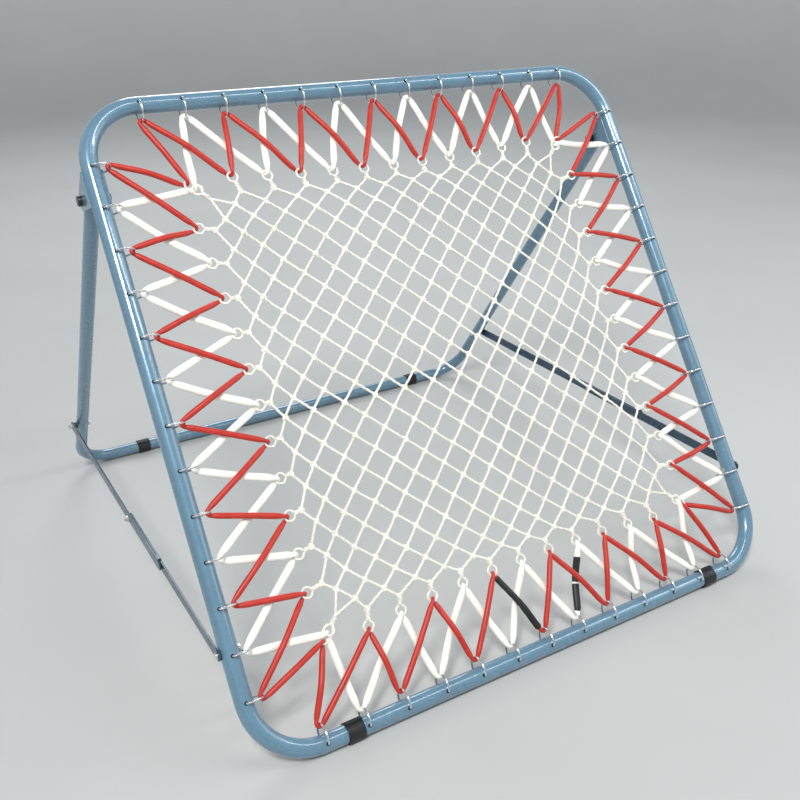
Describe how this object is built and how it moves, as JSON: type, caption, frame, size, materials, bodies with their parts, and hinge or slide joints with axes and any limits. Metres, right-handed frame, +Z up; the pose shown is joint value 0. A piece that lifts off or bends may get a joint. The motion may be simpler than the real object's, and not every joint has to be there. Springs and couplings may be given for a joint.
{
  "type": "pitch back rebounder",
  "caption": "Folding ball rebounder: a square tube frame leaning on a hinged rear frame, with a knotted net hung inside it on laced elastic cords and wire rings.",
  "frame": {"origin": "on the ground, at the middle of the object's box", "axes": "+X to the right of someone who stands in front and faces the net, +Y towards the back, +Z up"},
  "size_m": [1.0992, 1.136, 0.8851],
  "materials": {
    "frame_paint": "gloss steel-blue paint",
    "stay_paint": "dark navy gloss paint",
    "ring_wire": "bright plated wire",
    "net_cord": "knotted off-white cord",
    "red_rubber": "satin red rubber tube",
    "white_rubber": "matt cream rubber",
    "black_rubber": "matt black rubber",
    "zinc": "bright zinc plate",
    "black_plastic": "smooth black plastic",
    "nylon": "dark nylon"
  },
  "bodies": {
    "front_frame": {"front_frame_tube": "frame_paint", "left_hinge_bracket": "frame_paint", "right_hinge_bracket": "frame_paint", "bottom_net_rings": "ring_wire", "top_net_rings": "ring_wire", "left_net_rings": "ring_wire", "right_net_rings": "ring_wire", "net": "net_cord", "red_elastic": "red_rubber", "white_elastic": "white_rubber", "red_elastic_sleeve": "black_rubber", "white_elastic_sleeve": "black_rubber", "hinge_bolts": "zinc", "hinge_nuts": "zinc", "hinge_bolt_caps": "black_plastic", "front_left_foot": "black_rubber", "front_right_foot": "black_rubber", "stay_front_bolts": "zinc", "stay_front_nuts": "zinc", "stay_front_washers": "nylon"},
    "rear_frame": {"rear_frame_tube": "frame_paint", "rear_leg_plugs": "black_plastic", "hinge_spacers": "nylon", "rear_left_foot": "black_rubber", "rear_right_foot": "black_rubber", "stay_rear_bolts": "zinc", "stay_rear_nuts": "zinc", "stay_rear_spacers": "nylon"},
    "left_front_link": {"left_front_stay": "stay_paint", "left_knee_rivet": "zinc"},
    "left_rear_link": {"left_rear_stay": "stay_paint", "left_knee_bolt": "zinc"},
    "right_front_link": {"right_front_stay": "stay_paint", "right_knee_rivet": "zinc"},
    "right_rear_link": {"right_rear_stay": "stay_paint", "right_knee_bolt": "zinc"}
  },
  "joints": [
    {"name": "rear_fold", "type": "hinge", "parent": "front_frame", "child": "rear_frame", "pos_m": [0, 0.00027, 0.73854], "axis": [-1, 0, 0], "range_deg": [0, 71.9]},
    {"name": "left_front_link_fold", "type": "hinge", "parent": "front_frame", "child": "left_front_link", "pos_m": [-0.536, -0.45148, 0.16085], "axis": [1, 0, 0], "range_deg": [0, 54.12]},
    {"name": "left_rear_link_fold", "type": "hinge", "parent": "rear_frame", "child": "left_rear_link", "pos_m": [-0.5396, 0.44371, 0.1574], "axis": [-1, 0, 0], "range_deg": [0, 48.3]},
    {"name": "right_front_link_fold", "type": "hinge", "parent": "front_frame", "child": "right_front_link", "pos_m": [0.536, -0.45148, 0.16085], "axis": [1, 0, 0], "range_deg": [0, 54.12]},
    {"name": "right_rear_link_fold", "type": "hinge", "parent": "rear_frame", "child": "right_rear_link", "pos_m": [0.5396, 0.44371, 0.1574], "axis": [-1, 0, 0], "range_deg": [0, 48.3]}
  ],
  "couplings": [
    {"joint": "left_front_link_fold", "follows": "rear_fold", "ratio": 0.75262},
    {"joint": "left_rear_link_fold", "follows": "rear_fold", "ratio": 0.67176},
    {"joint": "right_front_link_fold", "follows": "rear_fold", "ratio": 0.75262},
    {"joint": "right_rear_link_fold", "follows": "rear_fold", "ratio": 0.67176}
  ]
}
